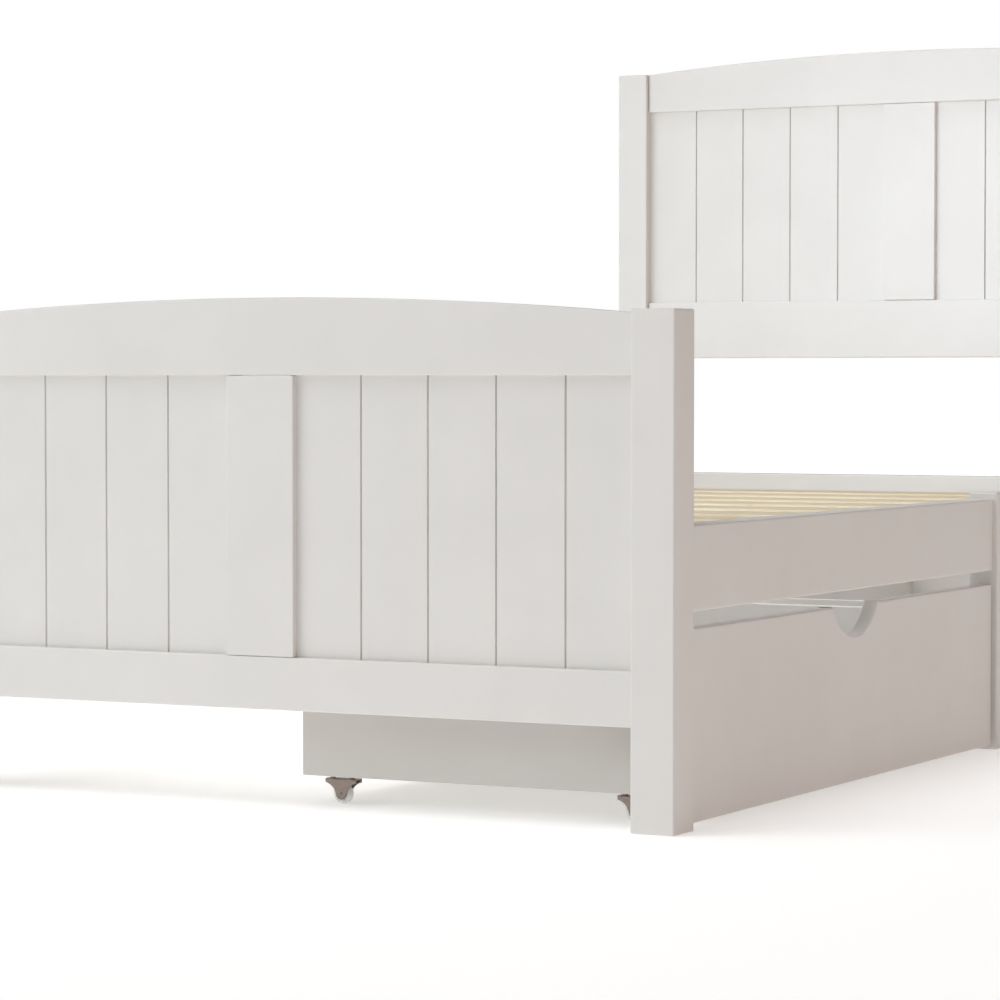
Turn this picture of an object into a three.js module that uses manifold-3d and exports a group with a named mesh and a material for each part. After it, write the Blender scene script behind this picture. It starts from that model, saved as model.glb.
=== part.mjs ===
// A single bed frame with a panelled headboard and footboard, slats and two drawers on castors.
// Millimetres, Z up. X runs across the bed, the footboard faces -Y and both drawers open toward +X.
import * as THREE from "three";
import { mergeVertices } from "three/addons/utils/BufferGeometryUtils.js";
import Module from "manifold-3d";

const GAP = 0.3; // clearance left between two pieces that meet

// overall
const WIDTH = 1002;
const LENGTH = 1994;
const POST = 50; // square section of the corner posts
const EASE = 2; // eased edge of the sawn timber

// headboard and footboard
const FOOT_POST_HEIGHT = 542;
const HEAD_POST_HEIGHT = 962;
const RAIL_SETBACK = 7; // rail face behind the post face
const BOARD_RAIL_DEPTH = 28;
const PANEL_SETBACK = 8; // panel face behind the rail face
const PANEL_THICKNESS = 12;
const PANEL_TONGUE = 8; // how far a panel runs into the groove around it
const STILE_WIDTH = 85;
const BOARD_PITCH = 82; // spacing of the V grooves in a panel
const V_WIDTH = 4;
const V_DEPTH = 2.5;
const TENON_LENGTH = 22;
const TENON_DEPTH = 12;
const TENON_SHOULDER = 12;
const FOOT = { postTop: FOOT_POST_HEIGHT, low: [109, 167], top: 473.5, archEnd: 538, archPeak: 558 };
const HEAD = { postTop: HEAD_POST_HEIGHT, low: [503, 593], top: 901, archEnd: 962, archPeak: 983 };

// side rails, middle legs and slats
const SIDE_RAIL_THICKNESS = 32;
const SIDE_RAIL_SETBACK = 6.5; // rail face inside the post's outer face
const SIDE_RAIL_Z = [227.5, 318];
const LEG_SETBACK = 1;
const LEG_WIDTH = 50;
const LEG_HEIGHT = 326;
const LEDGER = { width: 24, z: [245, 275], inset: 55 };
const SLAT = { count: 11, width: 100, thickness: 18, pitch: 177, first: 67, clearance: 1.5 };

// drawers
const DRAWER_FRONT = { thickness: 18, z: [6.5, 210], clearance: 5 };
const DRAWER_BOX = { thickness: 15, z: [31, 178.5], inset: 23, back: 12 };
const DRAWER_BOTTOM = { thickness: 8, z: 35, housing: 6 };
const NOTCH = { width: 138, depth: 37 };

// castors
const WHEEL_RADIUS = 12;
const WHEEL_WIDTH = 10;
const AXLE_RADIUS = 2.4;
const AXLE_CLEARANCE = 0.09;
const CHEEK = { width: 39, thickness: 1.5, gap: 11, skirt: 4.5, tip: 6.3, neck: 3.2, drop: 2.4 };
const BRACKET_TOP = 28.6;
const BOSS = { radius: 3, x: 12, outward: 2.5 }; // hold the bracket off the end board
const CASTOR_X = [57.5, 416];
const CASTOR_INSET = 12; // from the end board's outer face

const wasm = await Module();
wasm.setup();

const paint = { color: 0xe6e3df, roughness: 0.42, metalness: 0 };
const pine = { color: 0xe2cda2, roughness: 0.6, metalness: 0 };
const board = { color: 0xe9e7e3, roughness: 0.5, metalness: 0 };
const steel = { color: 0x8f8279, roughness: 0.4, metalness: 1 };
const nylon = { color: 0xebebe8, roughness: 0.4, metalness: 0 };

const bed = new THREE.Group();
bed.name = "bed_frame";

function solidFrom(geometry) {
  const plain = geometry.clone();
  plain.deleteAttribute("normal");
  plain.deleteAttribute("uv");
  const merged = mergeVertices(plain, 1e-4);
  return new wasm.Manifold(
    new wasm.Mesh({
      numProp: 3,
      vertProperties: new Float32Array(merged.attributes.position.array),
      triVerts: new Uint32Array(merged.index.array),
    }),
  );
}

function geometryFrom(solid) {
  const mesh = solid.getMesh();
  const geometry = new THREE.BufferGeometry();
  geometry.setAttribute("position", new THREE.BufferAttribute(mesh.vertProperties, 3));
  geometry.setIndex(new THREE.BufferAttribute(mesh.triVerts, 1));
  const flat = geometry.toNonIndexed();
  flat.computeVertexNormals();
  return flat;
}

// A box given by its low and high corner along each axis.
function block(x, y, z) {
  const geometry = new THREE.BoxGeometry(x[1] - x[0], y[1] - y[0], z[1] - z[0]);
  geometry.translate((x[0] + x[1]) / 2, (y[0] + y[1]) / 2, (z[0] + z[1]) / 2);
  return solidFrom(geometry);
}

// A box whose twelve edges are eased by a small chamfer.
function easedBlock(x, y, z, ease = EASE) {
  const [w, d, h] = [x, y, z].map((range) => range[1] - range[0]);
  const shape = new THREE.Shape();
  shape.moveTo(ease * 2, ease);
  shape.lineTo(w - ease * 2, ease);
  shape.lineTo(w - ease, ease * 2);
  shape.lineTo(w - ease, d - ease * 2);
  shape.lineTo(w - ease * 2, d - ease);
  shape.lineTo(ease * 2, d - ease);
  shape.lineTo(ease, d - ease * 2);
  shape.lineTo(ease, ease * 2);
  const geometry = new THREE.ExtrudeGeometry(shape, {
    depth: h - 2 * ease,
    bevelThickness: ease,
    bevelSize: ease,
    bevelSegments: 1,
    curveSegments: 1,
  });
  geometry.translate(x[0], y[0], z[0] + ease);
  return solidFrom(geometry);
}

function grow(range, by) {
  return [range[0] - by, range[1] + by];
}

function addPiece(name, solid, look, parent = bed, at = [0, 0, 0]) {
  const mesh = new THREE.Mesh(geometryFrom(solid), new THREE.MeshStandardMaterial(look));
  mesh.name = name;
  mesh.position.set(...at);
  parent.add(mesh);
}

const HALF = WIDTH / 2;
const INNER = HALF - POST; // inner face of the posts
const RAIL_OUTER = HALF - SIDE_RAIL_SETBACK;
const RAIL_INNER = RAIL_OUTER - SIDE_RAIL_THICKNESS;

// The footboard and headboard share one layout, drawn with the post's front face at y = 0.
const RAIL_Y = [RAIL_SETBACK, RAIL_SETBACK + BOARD_RAIL_DEPTH];
const PANEL_Y = [RAIL_SETBACK + PANEL_SETBACK, RAIL_SETBACK + PANEL_SETBACK + PANEL_THICKNESS];
const TENON_Y = [
  (RAIL_Y[0] + RAIL_Y[1] - TENON_DEPTH) / 2,
  (RAIL_Y[0] + RAIL_Y[1] + TENON_DEPTH) / 2,
];

function tenon(side, z) {
  const from = INNER - GAP - 1;
  const to = INNER + TENON_LENGTH;
  const x = side > 0 ? [from, to] : [-to, -from];
  return block(x, TENON_Y, [z[0] + TENON_SHOULDER, z[1] - TENON_SHOULDER]);
}

function mortise(side, z) {
  const x = side > 0 ? [INNER - 5, INNER + TENON_LENGTH + GAP] : [-INNER - TENON_LENGTH - GAP, 5 - INNER];
  return block(x, grow(TENON_Y, GAP), grow([z[0] + TENON_SHOULDER, z[1] - TENON_SHOULDER], GAP));
}

function panelSpan(side) {
  const near = STILE_WIDTH / 2 - PANEL_TONGUE;
  const far = INNER + PANEL_TONGUE;
  return side > 0 ? [near, far] : [-far, -near];
}

function panelHeight(size) {
  return [size.low[1] - PANEL_TONGUE, size.top + PANEL_TONGUE];
}

function panelRoom(side, size) {
  return block(grow(panelSpan(side), GAP), grow(PANEL_Y, GAP), grow(panelHeight(size), GAP));
}

function post(side, size, extra) {
  const x = side > 0 ? [INNER, HALF] : [-HALF, -INNER];
  let solid = easedBlock(x, [0, POST], [0, size.postTop]);
  solid = solid.subtract(mortise(side, size.low));
  solid = solid.subtract(mortise(side, [size.top, size.archEnd - 6]));
  solid = solid.subtract(panelRoom(side, size));
  return extra ? solid.subtract(extra) : solid;
}

function archedRail(size) {
  const half = INNER - GAP;
  const rise = size.archPeak - size.archEnd;
  const radius = (half * half + rise * rise) / (2 * rise);
  const sweep = Math.asin(half / radius);
  const shape = new THREE.Shape();
  shape.moveTo(-half, size.top);
  shape.lineTo(half, size.top);
  shape.absarc(0, size.archPeak - radius, radius, Math.PI / 2 - sweep, Math.PI / 2 + sweep, false);
  const geometry = new THREE.ExtrudeGeometry(shape, {
    depth: BOARD_RAIL_DEPTH,
    bevelEnabled: false,
    curveSegments: 36,
  });
  geometry.rotateX(Math.PI / 2);
  geometry.translate(0, RAIL_Y[1], 0);
  let solid = solidFrom(geometry);
  for (const side of [-1, 1]) {
    solid = solid.add(tenon(side, [size.top, size.archEnd - 6]));
    solid = solid.subtract(panelRoom(side, size));
  }
  return solid;
}

function lowerRail(size) {
  let solid = easedBlock([-INNER + GAP, INNER - GAP], RAIL_Y, size.low);
  for (const side of [-1, 1]) {
    solid = solid.add(tenon(side, size.low));
    solid = solid.subtract(panelRoom(side, size));
  }
  return solid;
}

function stile(size) {
  const half = STILE_WIDTH / 2;
  let solid = block([-half, half], RAIL_Y, [size.low[1] + GAP, size.top - GAP]);
  for (const side of [-1, 1]) solid = solid.subtract(panelRoom(side, size));
  return solid;
}

function vGroove(x, y, z, facing) {
  const shape = new THREE.Shape();
  shape.moveTo(-V_WIDTH / 2, 0);
  shape.lineTo(0, V_DEPTH);
  shape.lineTo(V_WIDTH / 2, 0);
  shape.lineTo(V_WIDTH / 2, -2);
  shape.lineTo(-V_WIDTH / 2, -2);
  const geometry = new THREE.ExtrudeGeometry(shape, { depth: z[1] - z[0] + 10, bevelEnabled: false });
  if (facing > 0) geometry.rotateZ(Math.PI);
  geometry.translate(x, y, z[0] - 5);
  return solidFrom(geometry);
}

function panel(side, size) {
  const z = panelHeight(size);
  let solid = block(panelSpan(side), PANEL_Y, z);
  for (let x = BOARD_PITCH * 1.5; x < INNER - 10; x += BOARD_PITCH) {
    solid = solid.subtract(vGroove(side * x, PANEL_Y[0], z, -1));
    solid = solid.subtract(vGroove(side * x, PANEL_Y[1], z, 1));
  }
  return solid;
}

function addBoard(prefix, size, y, extraMortise) {
  const at = [0, y, 0];
  for (const [label, side] of [["right", 1], ["left", -1]]) {
    addPiece(`${prefix}_post_${label}`, post(side, size, extraMortise?.(side)), paint, bed, at);
    addPiece(`${prefix}_panel_${label}`, panel(side, size), paint, bed, at);
  }
  addPiece(`${prefix}_top_rail`, archedRail(size), paint, bed, at);
  addPiece(`${prefix}_lower_rail`, lowerRail(size), paint, bed, at);
  addPiece(`${prefix}_stile`, stile(size), paint, bed, at);
}

const FOOT_Y = -LENGTH / 2;
const HEAD_Y = LENGTH / 2 - POST;
addBoard("foot", FOOT, FOOT_Y);
addBoard("head", HEAD, HEAD_Y, (side) => mortise(side, SIDE_RAIL_Z));

function crossRail() {
  const solid = easedBlock([-INNER + GAP, INNER - GAP], RAIL_Y, SIDE_RAIL_Z);
  return solid.add(tenon(1, SIDE_RAIL_Z)).add(tenon(-1, SIDE_RAIL_Z));
}
addPiece("head_cross_rail", crossRail(), paint, bed, [0, HEAD_Y, 0]);

// Each side rail comes in two lengths that butt against a middle leg.
function addSide(label, side) {
  const railX = side > 0 ? [RAIL_INNER, RAIL_OUTER] : [-RAIL_OUTER, -RAIL_INNER];
  const halfLeg = LEG_WIDTH / 2;
  const frontY = [FOOT_Y + POST + GAP, -halfLeg - GAP];
  const rearY = [halfLeg + GAP, HEAD_Y - GAP];
  addPiece(`side_rail_${label}_front`, easedBlock(railX, frontY, SIDE_RAIL_Z), paint);
  addPiece(`side_rail_${label}_rear`, easedBlock(railX, rearY, SIDE_RAIL_Z), paint);
  const outer = HALF - LEG_SETBACK;
  const legX = side > 0 ? [RAIL_INNER, outer] : [-outer, -RAIL_INNER];
  addPiece(`middle_leg_${label}`, easedBlock(legX, [-halfLeg, halfLeg], [0, LEG_HEIGHT]), paint);
  const near = RAIL_INNER - LEDGER.width - GAP;
  const far = RAIL_INNER - GAP;
  const ledgerX = side > 0 ? [near, far] : [-far, -near];
  const ledgerY = [-LENGTH / 2 + LEDGER.inset, LENGTH / 2 - LEDGER.inset];
  addPiece(`slat_ledger_${label}`, block(ledgerX, ledgerY, LEDGER.z), paint);
}
addSide("right", 1);
addSide("left", -1);

const SLAT_Z = [LEDGER.z[1] + GAP, LEDGER.z[1] + GAP + SLAT.thickness];
for (let i = 0; i < SLAT.count; i += 1) {
  const reach = RAIL_INNER - SLAT.clearance;
  const start = FOOT_Y + SLAT.first + i * SLAT.pitch;
  const number = String(i + 1).padStart(2, "0");
  addPiece(`slat_${number}`, easedBlock([-reach, reach], [start, start + SLAT.width], SLAT_Z), pine);
}

// Drawers are drawn about the middle of their length, y = 0.
const FRONT_LENGTH = LENGTH / 2 - POST - LEG_WIDTH / 2 - 2 * DRAWER_FRONT.clearance;
const FRONT_X = [RAIL_OUTER - DRAWER_FRONT.thickness, RAIL_OUTER];
const BOX_HALF = FRONT_LENGTH / 2 - DRAWER_BOX.inset;
const BACK_X = [DRAWER_BOX.back, DRAWER_BOX.back + DRAWER_BOX.thickness];
const SIDE_X = [DRAWER_BOX.back, FRONT_X[0] - GAP];
const BOTTOM_X = [BACK_X[1] - DRAWER_BOTTOM.housing, FRONT_X[0] + DRAWER_BOTTOM.housing];
const BOTTOM_HALF = BOX_HALF - DRAWER_BOX.thickness + DRAWER_BOTTOM.housing;
const BOTTOM_Z = [DRAWER_BOTTOM.z, DRAWER_BOTTOM.z + DRAWER_BOTTOM.thickness];

function bottomRoom() {
  return block(grow(BOTTOM_X, GAP), [-BOTTOM_HALF - GAP, BOTTOM_HALF + GAP], grow(BOTTOM_Z, GAP));
}

function drawerFront() {
  const half = FRONT_LENGTH / 2;
  const [low, high] = DRAWER_FRONT.z;
  const halfNotch = NOTCH.width / 2;
  const radius = (halfNotch * halfNotch + NOTCH.depth * NOTCH.depth) / (2 * NOTCH.depth);
  const sweep = Math.asin(halfNotch / radius);
  const middle = high - NOTCH.depth + radius;
  const shape = new THREE.Shape();
  shape.moveTo(-half, low);
  shape.lineTo(half, low);
  shape.lineTo(half, high);
  shape.lineTo(halfNotch, high);
  shape.absarc(0, middle, radius, sweep - Math.PI / 2, -sweep - Math.PI / 2, true);
  shape.lineTo(-half, high);
  const geometry = new THREE.ExtrudeGeometry(shape, {
    depth: DRAWER_FRONT.thickness,
    bevelEnabled: false,
    curveSegments: 28,
  });
  geometry.rotateX(Math.PI / 2);
  geometry.rotateZ(Math.PI / 2);
  geometry.translate(FRONT_X[0], 0, 0);
  return solidFrom(geometry).subtract(bottomRoom());
}

function drawerEnd(side) {
  const inner = BOX_HALF - DRAWER_BOX.thickness;
  const y = side > 0 ? [inner, BOX_HALF] : [-BOX_HALF, -inner];
  return easedBlock(SIDE_X, y, DRAWER_BOX.z, 1).subtract(bottomRoom());
}

function drawerBack() {
  const reach = BOX_HALF - DRAWER_BOX.thickness - GAP;
  return easedBlock(BACK_X, [-reach, reach], DRAWER_BOX.z, 1).subtract(bottomRoom());
}

function cheek(y) {
  const half = CHEEK.width / 2;
  const low = BRACKET_TOP - CHEEK.skirt;
  const [turnX, turnZ] = [CHEEK.tip + CHEEK.neck, low - CHEEK.drop];
  const shape = new THREE.Shape();
  shape.moveTo(-half, low);
  shape.quadraticCurveTo(-turnX, turnZ, -CHEEK.tip, WHEEL_RADIUS);
  shape.absarc(0, WHEEL_RADIUS, CHEEK.tip, Math.PI, Math.PI * 2, false);
  shape.quadraticCurveTo(turnX, turnZ, half, low);
  shape.lineTo(half, BRACKET_TOP);
  shape.lineTo(-half, BRACKET_TOP);
  const geometry = new THREE.ExtrudeGeometry(shape, {
    depth: CHEEK.thickness,
    bevelEnabled: false,
    curveSegments: 10,
  });
  geometry.rotateX(Math.PI / 2);
  geometry.translate(0, y + CHEEK.thickness, 0);
  return solidFrom(geometry);
}

// outward is the sign of Y towards the drawer end's outer face, over which the bosses sit.
function castorBracket(outward) {
  const half = CHEEK.width / 2;
  const reach = CHEEK.gap / 2 + CHEEK.thickness;
  const z = [BRACKET_TOP - CHEEK.thickness, BRACKET_TOP];
  let solid = block([-half, half], [-reach, reach], z);
  solid = solid.add(cheek(CHEEK.gap / 2)).add(cheek(-reach));
  const bossTop = DRAWER_BOX.z[0] - GAP;
  const bossHeight = bossTop - z[0];
  for (const side of [-1, 1]) {
    const boss = new THREE.CylinderGeometry(BOSS.radius, BOSS.radius, bossHeight, 20);
    boss.rotateX(Math.PI / 2);
    boss.translate(side * BOSS.x, outward * BOSS.outward, bossTop - bossHeight / 2);
    solid = solid.add(solidFrom(boss));
  }
  const pin = new THREE.CylinderGeometry(AXLE_RADIUS, AXLE_RADIUS, 2 * reach + 1.6, 24);
  pin.translate(0, 0, WHEEL_RADIUS);
  return solid.add(solidFrom(pin));
}

function castorWheel() {
  const half = WHEEL_WIDTH / 2;
  const bore = AXLE_RADIUS + AXLE_CLEARANCE;
  const centre = WHEEL_RADIUS - half;
  const web = half - 1;
  const tread = [];
  for (let step = 0; step <= 12; step += 1) {
    const angle = ((step - 6) * Math.PI) / 12;
    tread.push([centre + half * Math.cos(angle), half * Math.sin(angle)]);
  }
  const profile = [
    [bore, -half],
    [bore + 1.6, -half],
    [bore + 1.9, -web],
    [centre - 0.4, -web],
    ...tread,
    [centre - 0.4, web],
    [bore + 1.9, web],
    [bore + 1.6, half],
    [bore, half],
    [bore, -half],
  ];
  const points = profile.map(([radius, height]) => new THREE.Vector2(radius, height));
  return solidFrom(new THREE.LatheGeometry(points, 36));
}

function addDrawer(label, centre) {
  const prefix = `drawer_${label}`;
  const at = [0, centre, 0];
  const bottom = block(BOTTOM_X, [-BOTTOM_HALF, BOTTOM_HALF], BOTTOM_Z);
  addPiece(`${prefix}_face`, drawerFront(), paint, bed, at);
  addPiece(`${prefix}_end_foot`, drawerEnd(-1), board, bed, at);
  addPiece(`${prefix}_end_head`, drawerEnd(1), board, bed, at);
  addPiece(`${prefix}_back`, drawerBack(), board, bed, at);
  addPiece(`${prefix}_bottom`, bottom, board, bed, at);
  let number = 1;
  for (const side of [-1, 1]) {
    for (const x of CASTOR_X) {
      const place = [x, centre + side * (BOX_HALF - CASTOR_INSET), 0];
      addPiece(`${prefix}_castor_${number}`, castorBracket(side), steel, bed, place);
      const wheelPlace = [place[0], place[1], WHEEL_RADIUS];
      addPiece(`${prefix}_wheel_${number}`, castorWheel(), nylon, bed, wheelPlace);
      number += 1;
    }
  }
}

const DRAWER_CENTRE = (LENGTH / 2 - POST + LEG_WIDTH / 2) / 2;
addDrawer("front", -DRAWER_CENTRE);
addDrawer("rear", DRAWER_CENTRE);

export default bed;
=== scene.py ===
import math

import bmesh
import bpy
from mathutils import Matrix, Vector


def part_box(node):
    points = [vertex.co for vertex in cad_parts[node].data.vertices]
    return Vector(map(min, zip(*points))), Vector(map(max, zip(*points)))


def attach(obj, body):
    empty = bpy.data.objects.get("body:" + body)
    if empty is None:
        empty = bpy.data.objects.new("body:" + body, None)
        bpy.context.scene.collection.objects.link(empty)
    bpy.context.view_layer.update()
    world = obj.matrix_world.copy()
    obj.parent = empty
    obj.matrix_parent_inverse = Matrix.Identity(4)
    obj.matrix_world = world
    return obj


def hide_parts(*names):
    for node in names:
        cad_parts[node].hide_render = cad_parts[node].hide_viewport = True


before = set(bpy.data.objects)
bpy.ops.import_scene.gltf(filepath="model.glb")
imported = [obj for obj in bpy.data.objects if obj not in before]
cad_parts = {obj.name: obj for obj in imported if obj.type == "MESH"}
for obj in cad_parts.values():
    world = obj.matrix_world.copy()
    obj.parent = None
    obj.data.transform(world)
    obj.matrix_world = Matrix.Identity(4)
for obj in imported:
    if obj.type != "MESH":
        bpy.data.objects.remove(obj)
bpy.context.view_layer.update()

# ---------------------------------------------------------------------------
# Studio: a white painted floor that runs out of sight, under even light from the whole
# ceiling. A wide softbox at the front left brightens the end boards, and a weak warm one
# on the right leaves the long side of the bed in gentle shade.


def linear(hex_colour):
    """An sRGB hex colour as linear red, green, blue and alpha."""
    parts = [int(hex_colour[i : i + 2], 16) / 255 for i in (1, 3, 5)]
    made = [c / 12.92 if c <= 0.04045 else ((c + 0.055) / 1.055) ** 2.4 for c in parts]
    return (*made, 1.0)


def add_node(tree, kind, settings=None, links=None):
    """Adds a node; a setting is one of its properties or the value of a socket."""
    made = tree.nodes.new(kind)
    for key, value in (settings or {}).items():
        if isinstance(key, str) and hasattr(made, key):
            setattr(made, key, value)
        else:
            made.inputs[key].default_value = value
    for socket, source in (links or {}).items():
        tree.links.new(source, made.inputs[socket])
    return made


scene = bpy.context.scene
scene.view_settings.view_transform = "Standard"

studio = bpy.data.worlds.new("white_studio")
scene.world = studio
studio.use_nodes = True
sky = studio.node_tree
sky.nodes.clear()
ray = add_node(sky, "ShaderNodeLightPath")
ambient = add_node(sky, "ShaderNodeBackground", {"Color": linear("#F3EEE8"), "Strength": 0.05})
backdrop = add_node(sky, "ShaderNodeBackground", {"Color": (1, 1, 1, 1), "Strength": 1.0})
chosen = add_node(
    sky,
    "ShaderNodeMixShader",
    {},
    {0: ray.outputs["Is Camera Ray"], 1: ambient.outputs[0], 2: backdrop.outputs[0]},
)
add_node(sky, "ShaderNodeOutputWorld", {}, {"Surface": chosen.outputs[0]})

bpy.ops.object.select_all(action="DESELECT")
bpy.ops.mesh.primitive_plane_add(size=60, location=(0, 0, 0))
floor = bpy.context.object
floor.name = "studio_floor"
floor_paint = bpy.data.materials.new("matt_white_floor_paint")
floor_paint.use_nodes = True
floor_tree = floor_paint.node_tree
floor_shader = floor_tree.nodes["Principled BSDF"]
floor_shader.inputs["Base Color"].default_value = linear("#FAFAF9")
floor_shader.inputs["Roughness"].default_value = 0.9
floor_shader.inputs["Specular IOR Level"].default_value = 0.1
floor_shader.inputs["Emission Color"].default_value = (1, 1, 1, 1)
where = add_node(floor_tree, "ShaderNodeTexCoord")
distance = add_node(
    floor_tree, "ShaderNodeVectorMath", {"operation": "LENGTH"}, {0: where.outputs["Object"]}
)
# The floor glows a little, and more far off, so that it stays white up to its end.
glow = add_node(
    floor_tree,
    "ShaderNodeMapRange",
    {"From Min": 2.2, "From Max": 5.0, "To Min": 0.3, "To Max": 0.5},
    {"Value": distance.outputs["Value"]},
)
floor_tree.links.new(glow.outputs[0], floor_shader.inputs["Emission Strength"])
floor.data.materials.append(floor_paint)


def softbox(name, place, aim, size, watts, colour, spread=180):
    """A square area light of the given side, pointed from place to aim, itself unseen."""
    lamp = bpy.data.lights.new(name, "AREA")
    lamp.shape = "SQUARE"
    lamp.size = size
    lamp.spread = math.radians(spread)
    lamp.energy = watts
    lamp.color = linear(colour)[:3]
    holder = bpy.data.objects.new(name, lamp)
    scene.collection.objects.link(holder)
    holder.visible_camera = False
    holder.location = place
    holder.rotation_mode = "QUATERNION"
    holder.rotation_quaternion = (Vector(aim) - Vector(place)).to_track_quat("-Z", "Y")


softbox("left_window", (-3.4, -3.6, 2.4), (0, 0, 0.5), 3.0, 66, "#F6FAFF")
softbox("warm_right_fill", (4.2, -0.6, 1.6), (0, 0, 0.3), 3.0, 14, "#FFA868")
softbox("headboard_light", (-0.3, -0.85, 0.85), (0.1, 1.0, 0.5), 0.7, 1.6, "#E6F2FF", 60)

# A flat panel under the slats lights the insides of the drawers.
panel_lamp = bpy.data.lights.new("under_slat_panel", "AREA")
panel_lamp.shape = "RECTANGLE"
panel_lamp.size, panel_lamp.size_y = 0.8, 1.8
panel_lamp.energy = 2.1
panel_lamp.color = linear("#E4EEFF")[:3]
panel = bpy.data.objects.new("under_slat_panel", panel_lamp)
panel.location = (0.05, 0, 0.24)
panel.visible_camera = False
scene.collection.objects.link(panel)


def bright_wall(name, strength, direction, spread, colour):
    """Even light from a wide patch of ceiling or wall, for the whole floor alike."""
    lamp = bpy.data.lights.new(name, "SUN")
    lamp.energy = strength
    lamp.angle = math.radians(spread)
    lamp.color = linear(colour)[:3]
    holder = bpy.data.objects.new(name, lamp)
    scene.collection.objects.link(holder)
    holder.rotation_mode = "QUATERNION"
    holder.rotation_quaternion = Vector(direction).to_track_quat("-Z", "Y")


bright_wall("white_ceiling", 1.42, (0.1, 0.15, -1), 60, "#FBFBFB")
bright_wall("white_front_wall", 0.57, (0.4, 0.7, -1), 70, "#F8FCFF")

lens = bpy.data.cameras.new("studio_camera")
lens.sensor_width = 36
lens.lens = 129.02
lens.clip_end = 100
camera = bpy.data.objects.new("studio_camera", lens)
camera.location = (2.044, -4.325, 0.470)
camera.rotation_euler = (math.radians(88.06), 0, math.radians(27.66))
scene.collection.objects.link(camera)
scene.camera = camera

# ---------------------------------------------------------------------------
# Corner posts: four lengths of planed 50 mm square rubberwood, the head pair taller.
# The long edges are rounded over with a 2 mm cutter and the ends sawn square, then all
# is sprayed with white satin lacquer, which leaves the grain just felt under the film.


edge_round = 0.002


def flat_faces_true(piece):
    """Shades rounded edges smoothly while the broad faces stay flat."""
    bpy.ops.object.shade_smooth_by_angle(angle=math.radians(40))
    weighted = piece.modifiers.new("face_weights", "WEIGHTED_NORMAL")
    weighted.keep_sharp = True
    bpy.ops.object.modifier_apply(modifier=weighted.name)


def timber(name, low, high, round_over=edge_round, steps=3):
    """A planed length of wood between two corners, with its edges rounded over."""
    low, high = Vector(low), Vector(high)
    bpy.ops.object.select_all(action="DESELECT")
    bpy.ops.mesh.primitive_cube_add(size=1, location=(low + high) / 2, scale=high - low)
    piece = bpy.context.object
    piece.name = name
    bpy.ops.object.transform_apply(location=True, rotation=True, scale=True)
    bpy.ops.object.mode_set(mode="EDIT")
    bpy.ops.mesh.select_all(action="SELECT")
    bpy.ops.mesh.bevel(offset=round_over, segments=steps, affect="EDGES", clamp_overlap=True)
    bpy.ops.object.mode_set(mode="OBJECT")
    flat_faces_true(piece)
    return piece


def satin_lacquer(name, along, grain=0.5):
    """White satin lacquer sprayed on wood whose grain runs along X, Y or Z.

    The film is smooth with a fine orange peel about 1.5 mm across. Under it the grain
    stands up by hundredths of a millimetre, in streaks 3 mm wide and 150 mm long.
    """
    made = bpy.data.materials.new(name)
    made.use_nodes = True
    tree = made.node_tree
    shader = tree.nodes["Principled BSDF"]
    shader.inputs["IOR"].default_value = 1.5
    shader.inputs["Coat Weight"].default_value = 0.12
    shader.inputs["Coat Roughness"].default_value = 0.22
    where = add_node(tree, "ShaderNodeTexCoord")
    streaks_per_metre_across, streaks_per_metre_along = 330.0, 6.5
    stretch = [streaks_per_metre_across] * 3
    stretch["XYZ".index(along)] = streaks_per_metre_along
    turned = add_node(
        tree, "ShaderNodeMapping", {"Scale": stretch}, {"Vector": where.outputs["Object"]}
    )
    streaks = add_node(
        tree,
        "ShaderNodeTexNoise",
        {"Scale": 1.0, "Detail": 4.0, "Roughness": 0.6, "Distortion": 0.3},
        {"Vector": turned.outputs[0]},
    )
    peel = add_node(
        tree,
        "ShaderNodeTexNoise",
        {"Scale": 650.0, "Detail": 2.0, "Roughness": 0.5},
        {"Vector": where.outputs["Object"]},
    )
    cloud = add_node(
        tree,
        "ShaderNodeTexNoise",
        {"Scale": 9.0, "Detail": 3.0, "Roughness": 0.55},
        {"Vector": where.outputs["Object"]},
    )
    base = Vector(linear("#E8E5E1")[:3])
    shade = add_node(tree, "ShaderNodeValToRGB", {}, {"Fac": cloud.outputs["Fac"]})
    shade.color_ramp.elements[0].position = 0.3
    shade.color_ramp.elements[0].color = (*(base * 0.975), 1)
    shade.color_ramp.elements[1].position = 0.7
    shade.color_ramp.elements[1].color = (*(base * 1.012), 1)
    tree.links.new(shade.outputs["Color"], shader.inputs["Base Color"])
    gloss = add_node(
        tree,
        "ShaderNodeMapRange",
        {"From Min": 0.3, "From Max": 0.7, "To Min": 0.36, "To Max": 0.45},
        {"Value": streaks.outputs["Fac"]},
    )
    tree.links.new(gloss.outputs[0], shader.inputs["Roughness"])
    raised = add_node(
        tree,
        "ShaderNodeBump",
        {"Strength": grain, "Distance": 0.00006},
        {"Height": streaks.outputs["Fac"]},
    )
    film = add_node(
        tree,
        "ShaderNodeBump",
        {"Strength": 0.35, "Distance": 0.00003},
        {"Height": peel.outputs["Fac"], "Normal": raised.outputs[0]},
    )
    tree.links.new(film.outputs[0], shader.inputs["Normal"])
    return made


lacquered_upright = satin_lacquer("satin_lacquer_on_upright_rubberwood", "Z")


def finish_piece(piece, material, slot, body, *nodes):
    """Gives a piece its material and its place in the model."""
    piece.data.materials.clear()
    piece.data.materials.append(material)
    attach(piece, body)
    if nodes:
        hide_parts(*nodes)


for corner in ("foot_post_right", "foot_post_left", "head_post_right", "head_post_left"):
    low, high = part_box(corner)
    post = timber(f"{corner}_lacquered", low, high)
    finish_piece(post, lacquered_upright, "painted_wood", "frame", corner)

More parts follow.
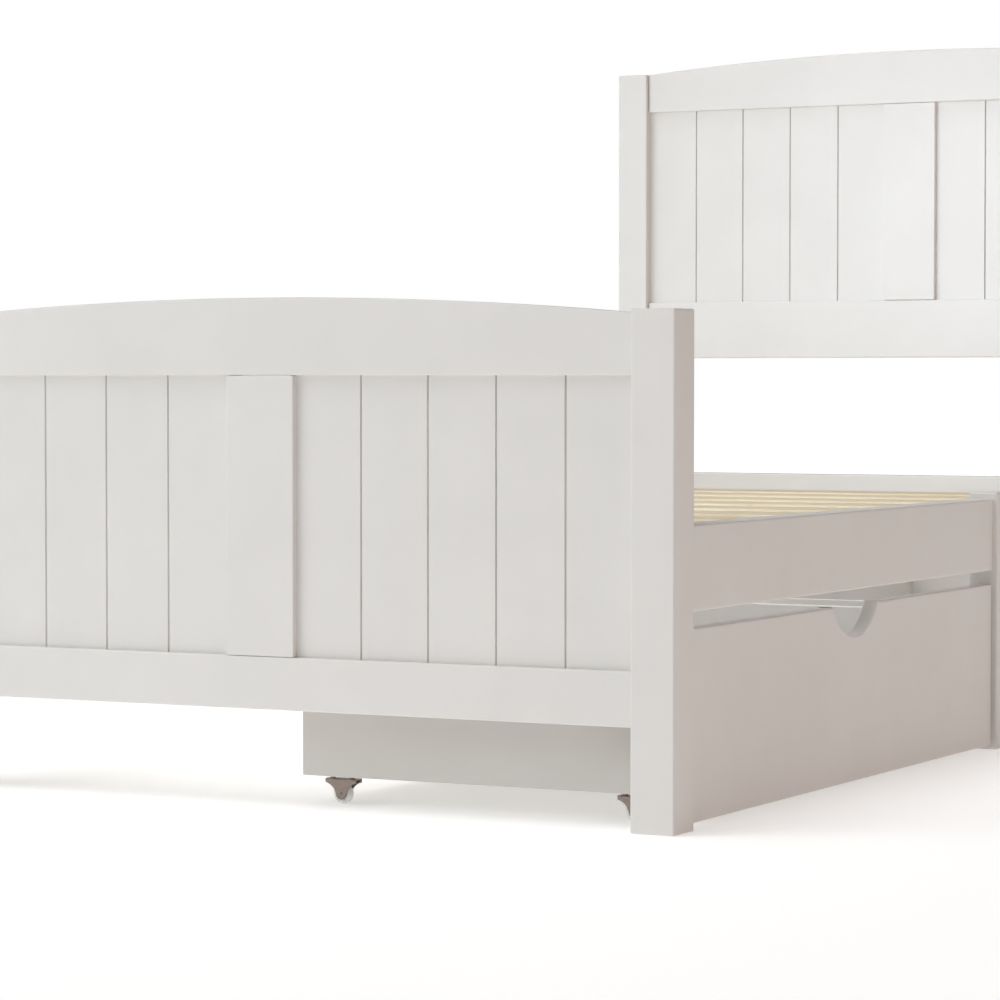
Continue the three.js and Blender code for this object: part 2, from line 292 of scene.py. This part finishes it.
# ---------------------------------------------------------------------------
# Arched top rails of the footboard and headboard: solid rubberwood, bandsawn to one
# long arc along the top and tenoned into the posts, with the same rounded edges.

lacquered_across = satin_lacquer("satin_lacquer_on_crosswise_rubberwood", "X")
post_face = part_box("foot_post_right")[0][0]  # inner face of the right-hand posts
joint_gap = 0.0003
arc_steps = 64


def arched_rail(name, node, end_height):
    """A rail between the posts whose top edge rises in one arc from end_height."""
    low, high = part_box(node)
    half = post_face - joint_gap
    rise = high[2] - end_height
    radius = (half * half + rise * rise) / (2 * rise)
    bpy.ops.object.select_all(action="DESELECT")
    size = (2 * half, high[1] - low[1], high[2] - low[2])
    middle = (0, (low[1] + high[1]) / 2, (low[2] + high[2]) / 2)
    bpy.ops.mesh.primitive_cube_add(size=1, location=middle, scale=size)
    rail = bpy.context.object
    rail.name = name
    bpy.ops.object.transform_apply(location=True, rotation=True, scale=True)
    bpy.ops.object.mode_set(mode="EDIT")
    for step in range(1, arc_steps):
        bpy.ops.mesh.select_all(action="SELECT")
        x = -half + 2 * half * step / arc_steps
        bpy.ops.mesh.bisect(plane_co=(x, 0, 0), plane_no=(1, 0, 0))
    shape = bmesh.from_edit_mesh(rail.data)
    for corner in shape.verts:
        if corner.co.z > middle[2]:
            corner.co.z = high[2] - radius + math.sqrt(radius**2 - corner.co.x**2)
    for edge in shape.edges:
        edge.select_set(edge.calc_face_angle(0) > math.radians(30))
    bmesh.update_edit_mesh(rail.data)
    bpy.ops.mesh.bevel(offset=edge_round, segments=3, affect="EDGES")
    bpy.ops.object.mode_set(mode="OBJECT")
    flat_faces_true(rail)
    return rail


for node, end_height in (("foot_top_rail", 0.538), ("head_top_rail", 0.962)):
    rail = arched_rail(f"{node}_lacquered", node, end_height)
    finish_piece(rail, lacquered_across, "painted_wood", "frame", node)

# ---------------------------------------------------------------------------
# Straight rails and stiles of the end boards: 28 mm rubberwood. Each lower rail runs
# between two posts on tenons, and each stile stands between its rails.


def shoulders(node):
    """The corners of a tenoned rail without its tenons."""
    low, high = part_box(node)
    half = post_face - joint_gap
    return (-half, low[1], low[2]), (half, high[1], high[2])


for node in ("foot_lower_rail", "head_lower_rail", "head_cross_rail"):
    rail = timber(f"{node}_lacquered", *shoulders(node))
    finish_piece(rail, lacquered_across, "painted_wood", "frame", node)

for node in ("foot_stile", "head_stile"):
    stile = timber(f"{node}_lacquered", *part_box(node), round_over=0.0012)
    finish_piece(stile, lacquered_upright, "painted_wood", "frame", node)

# ---------------------------------------------------------------------------
# Panels: 12 mm MDF with V grooves routed 82 mm apart on both faces, so that each reads
# as a row of boards. The edges stand in grooves in the rails, and the lacquer on MDF
# shows no grain at all.

lacquered_mdf = satin_lacquer("satin_lacquer_on_mdf", "Z", grain=0.05)
board_pitch = 0.082
groove_half = 0.0012  # half the width of a groove at the face
groove_depth = 0.004
same_place = 1e-5


def grooved_panel(name, node):
    """A flat panel with V grooves routed up both of its faces."""
    low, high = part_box(node)
    middle, size = (low + high) / 2, high - low
    side = 1 if middle[0] > 0 else -1
    bpy.ops.object.select_all(action="DESELECT")
    bpy.ops.mesh.primitive_cube_add(size=1, location=middle, scale=size)
    panel = bpy.context.object
    panel.name = name
    bpy.ops.object.transform_apply(location=True, rotation=True, scale=True)
    bpy.ops.object.mode_set(mode="EDIT")
    # The first groove is one and a half boards from the middle of the bed.
    lines = [side * board_pitch * (1.5 + i) for i in range(4)]
    for x in lines:
        for offset in (-groove_half, 0, groove_half):
            bpy.ops.mesh.select_all(action="SELECT")
            bpy.ops.mesh.bisect(plane_co=(x + offset, 0, 0), plane_no=(1, 0, 0))
    for face_sign in (-1, 1):
        shape = bmesh.from_edit_mesh(panel.data)
        bpy.ops.mesh.select_all(action="DESELECT")
        face_y = low[1] if face_sign < 0 else high[1]
        for corner in shape.verts:
            on_line = min(abs(corner.co.x - x) for x in lines) < same_place
            corner.select_set(on_line and abs(corner.co.y - face_y) < same_place)
        shape.select_flush(True)
        bmesh.update_edit_mesh(panel.data)
        bpy.ops.transform.translate(value=(0, -face_sign * groove_depth, 0))
    bpy.ops.object.mode_set(mode="OBJECT")
    return panel


for end in ("foot", "head"):
    for hand in ("right", "left"):
        node = f"{end}_panel_{hand}"
        panel = grooved_panel(f"{node}_grooved", node)
        finish_piece(panel, lacquered_mdf, "painted_wood", "frame", node)

# ---------------------------------------------------------------------------
# Side rails, middle legs and ledgers: each side rail comes in two lengths that meet at
# a middle leg, which stands a little proud. A ledger 24 mm thick is screwed along the
# inside of the rails to carry the slats.

lacquered_lengthwise = satin_lacquer("satin_lacquer_on_lengthwise_rubberwood", "Y")
for hand in ("right", "left"):
    for part in ("front", "rear"):
        node = f"side_rail_{hand}_{part}"
        rail = timber(f"{node}_lacquered", *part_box(node))
        finish_piece(rail, lacquered_lengthwise, "painted_wood", "frame", node)
    node = f"middle_leg_{hand}"
    leg = timber(f"{node}_lacquered", *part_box(node))
    finish_piece(leg, lacquered_upright, "painted_wood", "frame", node)
    node = f"slat_ledger_{hand}"
    ledger = timber(f"{node}_lacquered", *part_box(node), round_over=0.0015)
    finish_piece(ledger, lacquered_lengthwise, "painted_wood", "frame", node)

# ---------------------------------------------------------------------------
# Slats: eleven planed pine boards laid across the ledgers and screwed down at each end.
# Pine is left bare, pale straw yellow, with darker summer rings a few millimetres apart
# drawn out along the board, and now and then a small knot.


def bare_pine(name):
    """Planed pine with its grain along X."""
    made = bpy.data.materials.new(name)
    made.use_nodes = True
    tree = made.node_tree
    shader = tree.nodes["Principled BSDF"]
    shader.inputs["IOR"].default_value = 1.48
    where = add_node(tree, "ShaderNodeTexCoord")
    wander = add_node(
        tree,
        "ShaderNodeTexNoise",
        {"Scale": 3.5, "Detail": 2.0},
        {"Vector": where.outputs["Object"]},
    )
    drift = add_node(
        tree,
        "ShaderNodeVectorMath",
        {"operation": "MULTIPLY", 1: (0.0, 0.035, 0.02)},
        {0: wander.outputs["Color"]},
    )
    bent = add_node(
        tree,
        "ShaderNodeVectorMath",
        {"operation": "ADD"},
        {0: where.outputs["Object"], 1: drift.outputs[0]},
    )
    rings = add_node(
        tree,
        "ShaderNodeMapping",
        {"Scale": (1.2, 110.0, 60.0)},
        {"Vector": bent.outputs[0]},
    )
    grain = add_node(
        tree,
        "ShaderNodeTexNoise",
        {"Scale": 1.0, "Detail": 5.0, "Roughness": 0.62, "Distortion": 0.4},
        {"Vector": rings.outputs[0]},
    )
    wood = add_node(tree, "ShaderNodeValToRGB", {}, {"Fac": grain.outputs["Fac"]})
    wood.color_ramp.elements[0].position = 0.34
    wood.color_ramp.elements[0].color = linear("#DAC7A3")
    wood.color_ramp.elements[1].position = 0.62
    wood.color_ramp.elements[1].color = linear("#E9DCC2")
    spots = add_node(
        tree,
        "ShaderNodeMapping",
        {"Scale": (3.2, 9.0, 9.0)},
        {"Vector": where.outputs["Object"]},
    )
    knots = add_node(
        tree,
        "ShaderNodeTexVoronoi",
        {"Scale": 1.0, "Randomness": 1.0},
        {"Vector": spots.outputs[0]},
    )
    knot_mask = add_node(
        tree,
        "ShaderNodeMapRange",
        {"From Min": 0.045, "From Max": 0.085, "To Min": 0.75, "To Max": 0.0},
        {"Value": knots.outputs["Distance"]},
    )
    stained = add_node(
        tree,
        "ShaderNodeMix",
        {"data_type": "RGBA", 7: linear("#9A6B3C")},
        {0: knot_mask.outputs[0], 6: wood.outputs["Color"]},
    )
    tree.links.new(stained.outputs[2], shader.inputs["Base Color"])
    gloss = add_node(
        tree,
        "ShaderNodeMapRange",
        {"From Min": 0.3, "From Max": 0.7, "To Min": 0.5, "To Max": 0.64},
        {"Value": grain.outputs["Fac"]},
    )
    tree.links.new(gloss.outputs[0], shader.inputs["Roughness"])
    lift = add_node(
        tree,
        "ShaderNodeBump",
        {"Strength": 0.5, "Distance": 0.00015},
        {"Height": grain.outputs["Fac"]},
    )
    tree.links.new(lift.outputs[0], shader.inputs["Normal"])
    return made


planed_pine = bare_pine("planed_bare_pine")
slat_names = sorted(
    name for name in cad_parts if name.startswith("slat_") and name[5:].isdigit()
)
for node in slat_names:
    slat = timber(f"{node}_pine", *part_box(node), round_over=0.0025)
    finish_piece(slat, planed_pine, "pine", "frame", node)

# ---------------------------------------------------------------------------
# Slat screws: countersunk 4 mm wood screws, yellow zinc plated, two through each end of
# every slat into the ledger, their heads level with the face of the pine.


def plated_steel(name, tint, roughness):
    """Plated pressed or cold-headed steel, with faint tool marks about 1 mm apart."""
    made = bpy.data.materials.new(name)
    made.use_nodes = True
    tree = made.node_tree
    shader = tree.nodes["Principled BSDF"]
    shader.inputs["Metallic"].default_value = 1.0
    where = add_node(tree, "ShaderNodeTexCoord")
    marks = add_node(
        tree,
        "ShaderNodeTexNoise",
        {"Scale": 900.0, "Detail": 3.0, "Roughness": 0.6},
        {"Vector": where.outputs["Object"]},
    )
    base = Vector(linear(tint)[:3])
    shade = add_node(tree, "ShaderNodeValToRGB", {}, {"Fac": marks.outputs["Fac"]})
    shade.color_ramp.elements[0].position = 0.3
    shade.color_ramp.elements[0].color = (*(base * 0.88), 1)
    shade.color_ramp.elements[1].position = 0.7
    shade.color_ramp.elements[1].color = (*(base * 1.05), 1)
    tree.links.new(shade.outputs["Color"], shader.inputs["Base Color"])
    gloss = add_node(
        tree,
        "ShaderNodeMapRange",
        {
            "From Min": 0.3,
            "From Max": 0.7,
            "To Min": roughness - 0.06,
            "To Max": roughness + 0.06,
        },
        {"Value": marks.outputs["Fac"]},
    )
    tree.links.new(gloss.outputs[0], shader.inputs["Roughness"])
    lift = add_node(
        tree,
        "ShaderNodeBump",
        {"Strength": 0.25, "Distance": 0.00003},
        {"Height": marks.outputs["Fac"]},
    )
    tree.links.new(lift.outputs[0], shader.inputs["Normal"])
    return made


def screw_head(place, radius, proud, facing=1):
    """A flat screw head whose socket is sunk in its middle, facing up or down."""
    depth, crown, socket_depth = 0.001, 0.0001, 0.0006
    middle = (place[0], place[1], place[2] + facing * (proud - depth / 2))
    bpy.ops.object.select_all(action="DESELECT")
    bpy.ops.mesh.primitive_cylinder_add(
        vertices=16, radius=radius, depth=depth, location=middle
    )
    head = bpy.context.object
    bpy.ops.object.transform_apply(location=True, rotation=True, scale=True)
    bpy.ops.object.mode_set(mode="EDIT")
    bpy.ops.mesh.select_all(action="DESELECT")
    shape = bmesh.from_edit_mesh(head.data)
    for face in shape.faces:
        face.select_set(face.normal.z * facing > 0.9)
    bmesh.update_edit_mesh(head.data)
    bpy.ops.mesh.inset(thickness=radius * 0.12, depth=crown)
    bpy.ops.mesh.inset(thickness=radius * 0.38, depth=0)
    bpy.ops.mesh.inset(thickness=radius * 0.08, depth=-socket_depth)
    bpy.ops.object.mode_set(mode="OBJECT")
    return head


def joined(name, pieces):
    """Several small pieces on one body as one object."""
    bpy.ops.object.select_all(action="DESELECT")
    for piece in pieces:
        piece.select_set(True)
    bpy.context.view_layer.objects.active = pieces[0]
    bpy.ops.object.join()
    made = bpy.context.object
    made.name = name
    return made


yellow_zinc = plated_steel("yellow_zinc_plated_steel", "#C9B27C", 0.34)
ledger_low, ledger_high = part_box("slat_ledger_right")
screw_x = (ledger_low[0] + ledger_high[0]) / 2
screw_from_edge, screw_radius, screw_proud = 0.025, 0.0038, 0.0001
heads = []
for node in slat_names:
    low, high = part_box(node)
    for side in (-1, 1):
        for y in (low[1] + screw_from_edge, high[1] - screw_from_edge):
            place = (side * screw_x, y, high[2])
            heads.append(screw_head(place, screw_radius, screw_proud))
slat_screws = joined("slat_screws", heads)
finish_piece(slat_screws, yellow_zinc, "castor_steel", "frame")

# ---------------------------------------------------------------------------
# Drawer fronts: 18 mm MDF with a finger notch cut in the middle of the top edge. The
# edges and the notch are softened with a small cutter before the white lacquer.

notch_half_width, notch_depth = 0.069, 0.037
softened = 0.0014


def notched_front(name, node):
    """A drawer front with an arc cut down from its top edge."""
    low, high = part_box(node)
    radius = (notch_half_width**2 + notch_depth**2) / (2 * notch_depth)
    middle = (low + high) / 2
    size = high - low
    bpy.ops.object.select_all(action="DESELECT")
    bpy.ops.mesh.primitive_cube_add(size=1, location=middle, scale=size)
    board = bpy.context.object
    board.name = name
    bpy.ops.object.transform_apply(location=True, rotation=True, scale=True)
    bpy.ops.mesh.primitive_cylinder_add(
        vertices=160,
        radius=radius,
        depth=size[0] * 3,
        location=(middle[0], middle[1], high[2] - notch_depth + radius),
        rotation=(0, math.radians(90), 0),
    )
    cutter = bpy.context.object
    bpy.ops.object.select_all(action="DESELECT")
    board.select_set(True)
    bpy.context.view_layer.objects.active = board
    cut = board.modifiers.new("notch", "BOOLEAN")
    cut.operation = "DIFFERENCE"
    cut.object = cutter
    cut.solver = "EXACT"
    bpy.ops.object.modifier_apply(modifier=cut.name)
    bpy.data.objects.remove(cutter, do_unlink=True)
    bpy.ops.object.mode_set(mode="EDIT")
    bpy.ops.mesh.select_all(action="DESELECT")
    bpy.ops.mesh.edges_select_sharp(sharpness=math.radians(20))
    bpy.ops.mesh.bevel(offset=softened, segments=3, affect="EDGES")
    bpy.ops.object.mode_set(mode="OBJECT")
    flat_faces_true(board)
    return board


for part in ("front", "rear"):
    node = f"drawer_{part}_face"
    board = notched_front(f"{node}_lacquered", node)
    finish_piece(board, lacquered_mdf, "painted_wood", f"drawer_{part}", node)

# ---------------------------------------------------------------------------
# Drawer boxes: 15 mm particle board faced with white melamine foil. The back stands
# between the two ends, and an 8 mm white-faced bottom slides into grooves around it.


def melamine(name):
    """White melamine foil: even, a little glossier than the lacquer, its white painted darker
    and warmer as shade inside the drawers.
    """
    made = bpy.data.materials.new(name)
    made.use_nodes = True
    tree = made.node_tree
    shader = tree.nodes["Principled BSDF"]
    shader.inputs["IOR"].default_value = 1.5
    where = add_node(tree, "ShaderNodeTexCoord")
    cloud = add_node(
        tree,
        "ShaderNodeTexNoise",
        {"Scale": 14.0, "Detail": 3.0},
        {"Vector": where.outputs["Object"]},
    )
    # This base is painted darker and warmer than white foil: painted shade for the drawer
    # boxes under the bed.
    base = Vector(linear("#DEDAD4")[:3])
    shade = add_node(tree, "ShaderNodeValToRGB", {}, {"Fac": cloud.outputs["Fac"]})
    shade.color_ramp.elements[0].position = 0.3
    shade.color_ramp.elements[0].color = (*(base * 0.98), 1)
    shade.color_ramp.elements[1].position = 0.7
    shade.color_ramp.elements[1].color = (*(base * 1.01), 1)
    tree.links.new(shade.outputs["Color"], shader.inputs["Base Color"])
    pores = add_node(
        tree,
        "ShaderNodeTexNoise",
        {"Scale": 1100.0, "Detail": 2.0},
        {"Vector": where.outputs["Object"]},
    )
    gloss = add_node(
        tree,
        "ShaderNodeMapRange",
        {"From Min": 0.3, "From Max": 0.7, "To Min": 0.3, "To Max": 0.4},
        {"Value": pores.outputs["Fac"]},
    )
    tree.links.new(gloss.outputs[0], shader.inputs["Roughness"])
    lift = add_node(
        tree,
        "ShaderNodeBump",
        {"Strength": 0.3, "Distance": 0.00003},
        {"Height": pores.outputs["Fac"]},
    )
    tree.links.new(lift.outputs[0], shader.inputs["Normal"])
    return made


melamine_with_painted_shade = melamine("white_melamine_board_with_painted_shade")
for part in ("front", "rear"):
    for board_name in ("end_foot", "end_head", "back", "bottom"):
        node = f"drawer_{part}_{board_name}"
        board = timber(f"{node}_board", *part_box(node), round_over=0.0007, steps=2)
        finish_piece(board, melamine_with_painted_shade, "drawer_board", f"drawer_{part}", node)

# ---------------------------------------------------------------------------
# Castor brackets: 1.5 mm steel pressed into a fork, zinc plated, screwed up into the
# drawer end through two raised bosses. Each cheek sweeps in from a short skirt to a
# round end, where a steel pin is riveted over on both sides.

# The brown-grey tint of this zinc is a painted reflection: it stands for warm surroundings
# mirrored in the plating.
zinc = plated_steel("zinc_plated_steel_with_painted_warm_reflection", "#948880", 0.3)
axle_height = 0.012
plate = 0.0015  # thickness of the pressed steel
cheek_gap = 0.0055  # from the middle of the wheel to the inside of a cheek
web_top = 0.0286
boss_spread, boss_outward = 0.012, 0.0025


def cheek(name, x, y, half_width):
    """One cheek of the fork: a skirt, drawn in by a hollow curve to a round end."""
    top = web_top - 0.0001
    end_radius, skirt = 0.0063, 0.0045
    turn_x, turn_z = end_radius + 0.0032, top - skirt - 0.0024
    rows, columns = 40, 6
    arc_share, curve_share = 0.4, 0.9  # the rows up to the end of the arc and of the curve
    bpy.ops.object.select_all(action="DESELECT")
    bpy.ops.mesh.primitive_grid_add(
        x_subdivisions=columns,
        y_subdivisions=rows,
        size=1,
        location=(x, y, 0.5),
        rotation=(math.radians(90), 0, 0),
    )
    made = bpy.context.object
    made.name = name
    bpy.ops.object.transform_apply(location=True, rotation=True, scale=True)
    for corner in made.data.vertices:
        share = round(corner.co.z * rows) / rows
        across = (corner.co.x - x) * 2
        if share <= arc_share:
            angle = share / arc_share * math.pi / 2
            reach = end_radius * math.sin(angle)
            z = axle_height - end_radius * math.cos(angle)
        elif share <= curve_share:
            t = (share - arc_share) / (curve_share - arc_share)
            reach = (1 - t) ** 2 * end_radius + 2 * t * (1 - t) * turn_x + t**2 * half_width
            z = (1 - t) ** 2 * axle_height + 2 * t * (1 - t) * turn_z + t**2 * (top - skirt)
        else:
            reach = half_width
            z = top - skirt + (share - curve_share) / (1 - curve_share) * skirt
        corner.co.x = x + across * reach
        corner.co.z = z
    bpy.ops.object.mode_set(mode="EDIT")
    bpy.ops.mesh.select_all(action="SELECT")
    bpy.ops.mesh.remove_doubles(threshold=1e-6)
    bpy.ops.mesh.extrude_region_move(TRANSFORM_OT_translate={"value": (0, plate, 0)})
    bpy.ops.mesh.select_all(action="SELECT")
    bpy.ops.mesh.normals_make_consistent(inside=False)
    bpy.ops.mesh.select_all(action="DESELECT")
    bpy.ops.mesh.edges_select_sharp(sharpness=math.radians(60))
    bpy.ops.mesh.bevel(offset=0.0003, segments=2, affect="EDGES")
    bpy.ops.object.mode_set(mode="OBJECT")
    bpy.ops.object.shade_smooth_by_angle(angle=math.radians(35))
    return made


def rivet_pin(x, y, reach):
    """The axle pin across the fork, its two ends peened into low domes."""
    bpy.ops.object.select_all(action="DESELECT")
    bpy.ops.mesh.primitive_cylinder_add(
        vertices=32,
        radius=0.0024,
        depth=2 * reach,
        location=(x, y, axle_height),
        rotation=(math.radians(90), 0, 0),
    )
    pin = bpy.context.object
    bpy.ops.object.transform_apply(location=True, rotation=True, scale=True)
    bpy.ops.object.mode_set(mode="EDIT")
    for sign in (-1, 1):
        bpy.ops.mesh.select_all(action="DESELECT")
        shape = bmesh.from_edit_mesh(pin.data)
        for face in shape.faces:
            face.select_set(face.normal.y * sign > 0.9)
        bmesh.update_edit_mesh(pin.data)
        bpy.ops.mesh.inset(thickness=0.0005, depth=0.0003)
        bpy.ops.mesh.inset(thickness=0.0008, depth=0.0002)
    bpy.ops.object.mode_set(mode="OBJECT")
    bpy.ops.object.shade_smooth_by_angle(angle=math.radians(50))
    return pin


def boss(name, x, y, low, high):
    """A hollow round stand-off pressed up from the bracket to the drawer end."""
    bpy.ops.object.select_all(action="DESELECT")
    bpy.ops.mesh.primitive_cylinder_add(
        vertices=28, radius=0.003, depth=high - low, location=(x, y, (low + high) / 2)
    )
    made = bpy.context.object
    made.name = name
    bpy.ops.object.transform_apply(location=True, rotation=True, scale=True)
    bpy.ops.object.mode_set(mode="EDIT")
    bpy.ops.mesh.select_all(action="DESELECT")
    bpy.ops.mesh.edges_select_sharp(sharpness=math.radians(60))
    bpy.ops.mesh.bevel(offset=0.0004, segments=2, affect="EDGES")
    bpy.ops.object.mode_set(mode="OBJECT")
    bpy.ops.object.shade_smooth_by_angle(angle=math.radians(35))
    return made


def fork(name, node, outward):
    """A whole bracket: web, two cheeks, axle pin, and two bosses with their screws."""
    low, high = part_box(node)
    x, y = (low[0] + high[0]) / 2, (low[1] + high[1]) / 2
    half_width = (high[0] - low[0]) / 2
    web_half = cheek_gap + plate / 2
    web_low = (low[0], y - web_half, web_top - plate)
    web_high = (high[0], y + web_half, web_top)
    parts = [timber(name, web_low, web_high, round_over=0.0004, steps=2)]
    for start in (y + cheek_gap, y - cheek_gap - plate):
        parts.append(cheek(f"{name}_cheek", x, start, half_width - 0.00005))
    parts.append(rivet_pin(x, y, cheek_gap + plate + 0.0003))
    for side in (-1, 1):
        place = (x + side * boss_spread, y + outward * boss_outward)
        parts.append(boss(f"{name}_boss", *place, web_top - plate / 2, high[2]))
        head = (*place, web_top - plate)
        parts.append(screw_head(head, 0.0021, 0.0008, facing=-1))
    return joined(name, parts)


for part in ("front", "rear"):
    for number in range(1, 5):
        node = f"drawer_{part}_castor_{number}"
        outward = -1 if number <= 2 else 1
        bracket = fork(f"{node}_fork", node, outward)
        finish_piece(bracket, zinc, "castor_steel", f"drawer_{part}", node)

# ---------------------------------------------------------------------------
# Castor wheels: 24 mm injection-moulded natural polypropylene, milky and slightly
# translucent, with a round tread, a dished web and a hub that runs on the steel pin.


def natural_polypropylene(name):
    """Unpigmented polypropylene: milky, waxy, light scatters a little way in."""
    made = bpy.data.materials.new(name)
    made.use_nodes = True
    tree = made.node_tree
    shader = tree.nodes["Principled BSDF"]
    shader.inputs["IOR"].default_value = 1.49
    shader.inputs["Subsurface Weight"].default_value = 0.5
    shader.inputs["Subsurface Radius"].default_value = (1.0, 0.95, 0.85)
    shader.inputs["Subsurface Scale"].default_value = 0.003
    where = add_node(tree, "ShaderNodeTexCoord")
    scuffs = add_node(
        tree,
        "ShaderNodeTexNoise",
        {"Scale": 700.0, "Detail": 3.0, "Roughness": 0.65},
        {"Vector": where.outputs["Object"]},
    )
    shade = add_node(tree, "ShaderNodeValToRGB", {}, {"Fac": scuffs.outputs["Fac"]})
    shade.color_ramp.elements[0].position = 0.25
    shade.color_ramp.elements[0].color = linear("#DEDDDA")
    shade.color_ramp.elements[1].position = 0.6
    shade.color_ramp.elements[1].color = linear("#EFEFED")
    tree.links.new(shade.outputs["Color"], shader.inputs["Base Color"])
    gloss = add_node(
        tree,
        "ShaderNodeMapRange",
        {"From Min": 0.3, "From Max": 0.7, "To Min": 0.24, "To Max": 0.4},
        {"Value": scuffs.outputs["Fac"]},
    )
    tree.links.new(gloss.outputs[0], shader.inputs["Roughness"])
    return made


milky_plastic = natural_polypropylene("natural_polypropylene")


def moulded_wheel(name, node):
    """A wheel with a full round tread, a dished web on both sides and a bored hub."""
    low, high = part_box(node)
    middle = (low + high) / 2
    radius = (high[2] - low[2]) / 2
    half = (high[1] - low[1]) / 2
    crown = radius - half
    bore, hub, dish = 0.0025, 0.0038, 0.001
    chamfer, rim_step, tread_steps = 0.0003, 0.0002, 16
    outline = [(bore, -half), (hub, -half), (hub + chamfer, -half + chamfer)]
    outline += [(hub + 0.0005, -half + dish), (crown - 3 * rim_step, -half + dish)]
    outline += [(crown - 2 * rim_step, -half + rim_step)]
    for step in range(tread_steps + 1):
        angle = (step - tread_steps / 2) * math.pi / tread_steps
        outline.append((crown + half * math.cos(angle), half * math.sin(angle)))
    outline += [(across, -along) for across, along in reversed(outline[:6])]
    bpy.ops.object.select_all(action="DESELECT")
    bpy.ops.mesh.primitive_circle_add(vertices=len(outline), radius=1, location=(0, 0, 0))
    wheel = bpy.context.object
    wheel.name = name
    for corner, (across, along) in zip(wheel.data.vertices, outline):
        corner.co = middle + Vector((0, along, across))
    bpy.ops.object.mode_set(mode="EDIT")
    bpy.ops.mesh.select_all(action="SELECT")
    bpy.ops.mesh.spin(
        steps=96, angle=math.tau, center=middle, axis=(0, 1, 0), use_auto_merge=True
    )
    bpy.ops.mesh.select_all(action="SELECT")
    bpy.ops.mesh.remove_doubles(threshold=1e-6)
    bpy.ops.mesh.normals_make_consistent(inside=False)
    bpy.ops.object.mode_set(mode="OBJECT")
    bpy.ops.object.shade_smooth_by_angle(angle=math.radians(35))
    return wheel


for part in ("front", "rear"):
    for number in range(1, 5):
        node = f"drawer_{part}_wheel_{number}"
        wheel = moulded_wheel(f"{node}_moulded", node)
        finish_piece(wheel, milky_plastic, "castor_wheel", node, node)
